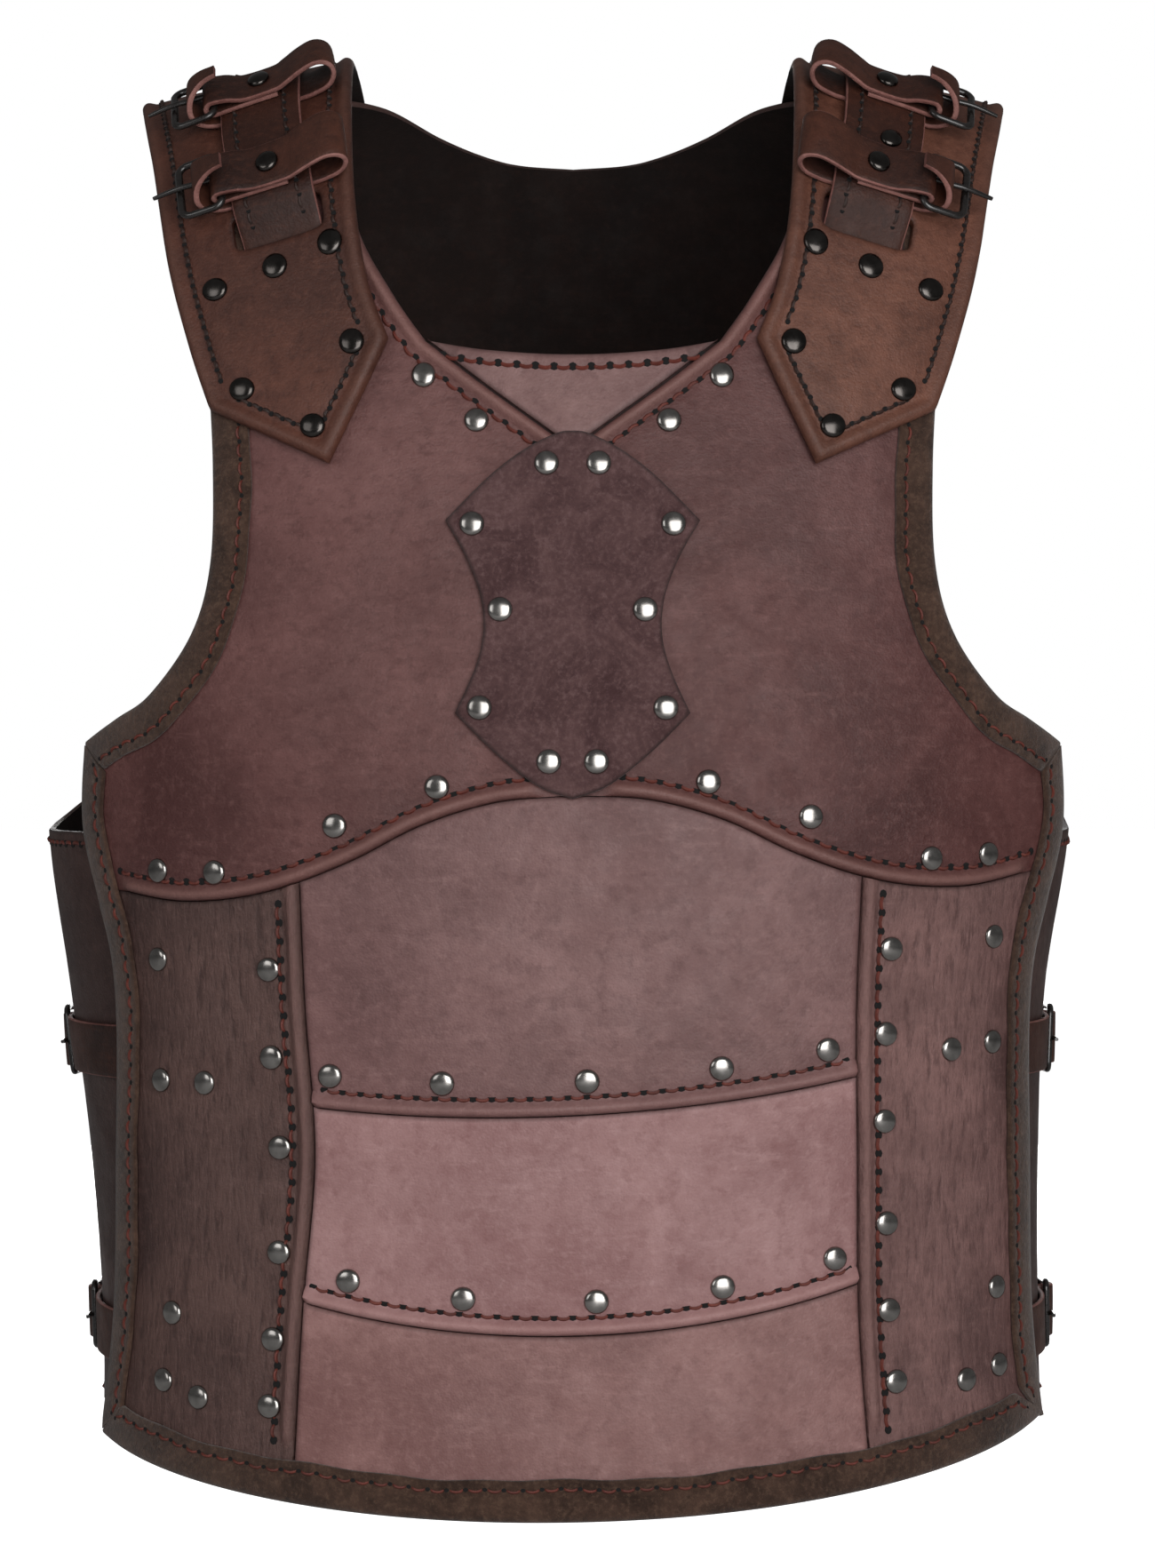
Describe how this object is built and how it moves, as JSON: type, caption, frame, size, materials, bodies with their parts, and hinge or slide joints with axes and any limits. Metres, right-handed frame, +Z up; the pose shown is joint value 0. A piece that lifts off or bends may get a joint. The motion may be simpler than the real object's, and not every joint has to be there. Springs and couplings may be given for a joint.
{
  "type": "leather breastplate",
  "caption": "Sleeveless leather torso armour with overlapping riveted panels, rolled seams, buckled shoulder plates and side straps, filled out as worn.",
  "frame": {"origin": "middle of the shoulder line, where the wearer's shoulders carry the garment, halfway between front and back", "axes": "+Z up, +X towards the right side as seen from the front, -Y towards the viewer of the front"},
  "size_m": [0.4303, 0.2622, 0.5851],
  "materials": {
    "panel_leather": "oiled, matt satin, purple brown",
    "plate_leather": "oiled, matt satin, red brown",
    "suede": "rough flesh side, dark brown",
    "back_leather": "smooth, matt, dark brown",
    "strap_leather": "smooth with pale cut edges",
    "buckle_wire": "black, glossy",
    "rivet_steel": "polished gunmetal domes"
  },
  "bodies": {
    "root": {"front_backing": "panel_leather", "bib": "panel_leather", "chest": "panel_leather", "belly_panel": "panel_leather", "mid_band": "panel_leather", "lower_band": "panel_leather", "side_panel_left": "panel_leather", "side_panel_right": "panel_leather", "binding_armhole_left": "suede", "binding_armhole_right": "suede", "binding_side_left": "suede", "binding_side_right": "suede", "binding_hem": "suede", "medallion": "suede", "back_panel": "back_leather", "shoulder_plate_left": "plate_leather", "shoulder_strap_left": "strap_leather", "belt_upper_left": "strap_leather", "buckle_upper_left": "buckle_wire", "prong_upper_left": "buckle_wire", "belt_rivet_upper_left": "rivet_steel", "chape_upper_left": "strap_leather", "tongue_upper_left": "strap_leather", "side_buckle_upper_left": "buckle_wire", "side_prong_upper_left": "buckle_wire", "belt_lower_left": "strap_leather", "buckle_lower_left": "buckle_wire", "prong_lower_left": "buckle_wire", "belt_rivet_lower_left": "rivet_steel", "chape_lower_left": "strap_leather", "tongue_lower_left": "strap_leather", "side_buckle_lower_left": "buckle_wire", "side_prong_lower_left": "buckle_wire", "shoulder_plate_right": "plate_leather", "shoulder_strap_right": "strap_leather", "belt_upper_right": "strap_leather", "buckle_upper_right": "buckle_wire", "prong_upper_right": "buckle_wire", "belt_rivet_upper_right": "rivet_steel", "chape_upper_right": "strap_leather", "tongue_upper_right": "strap_leather", "side_buckle_upper_right": "buckle_wire", "side_prong_upper_right": "buckle_wire", "belt_lower_right": "strap_leather", "buckle_lower_right": "buckle_wire", "prong_lower_right": "buckle_wire", "belt_rivet_lower_right": "rivet_steel", "chape_lower_right": "strap_leather", "tongue_lower_right": "strap_leather", "side_buckle_lower_right": "buckle_wire", "side_prong_lower_right": "buckle_wire"}
  },
  "joints": []
}
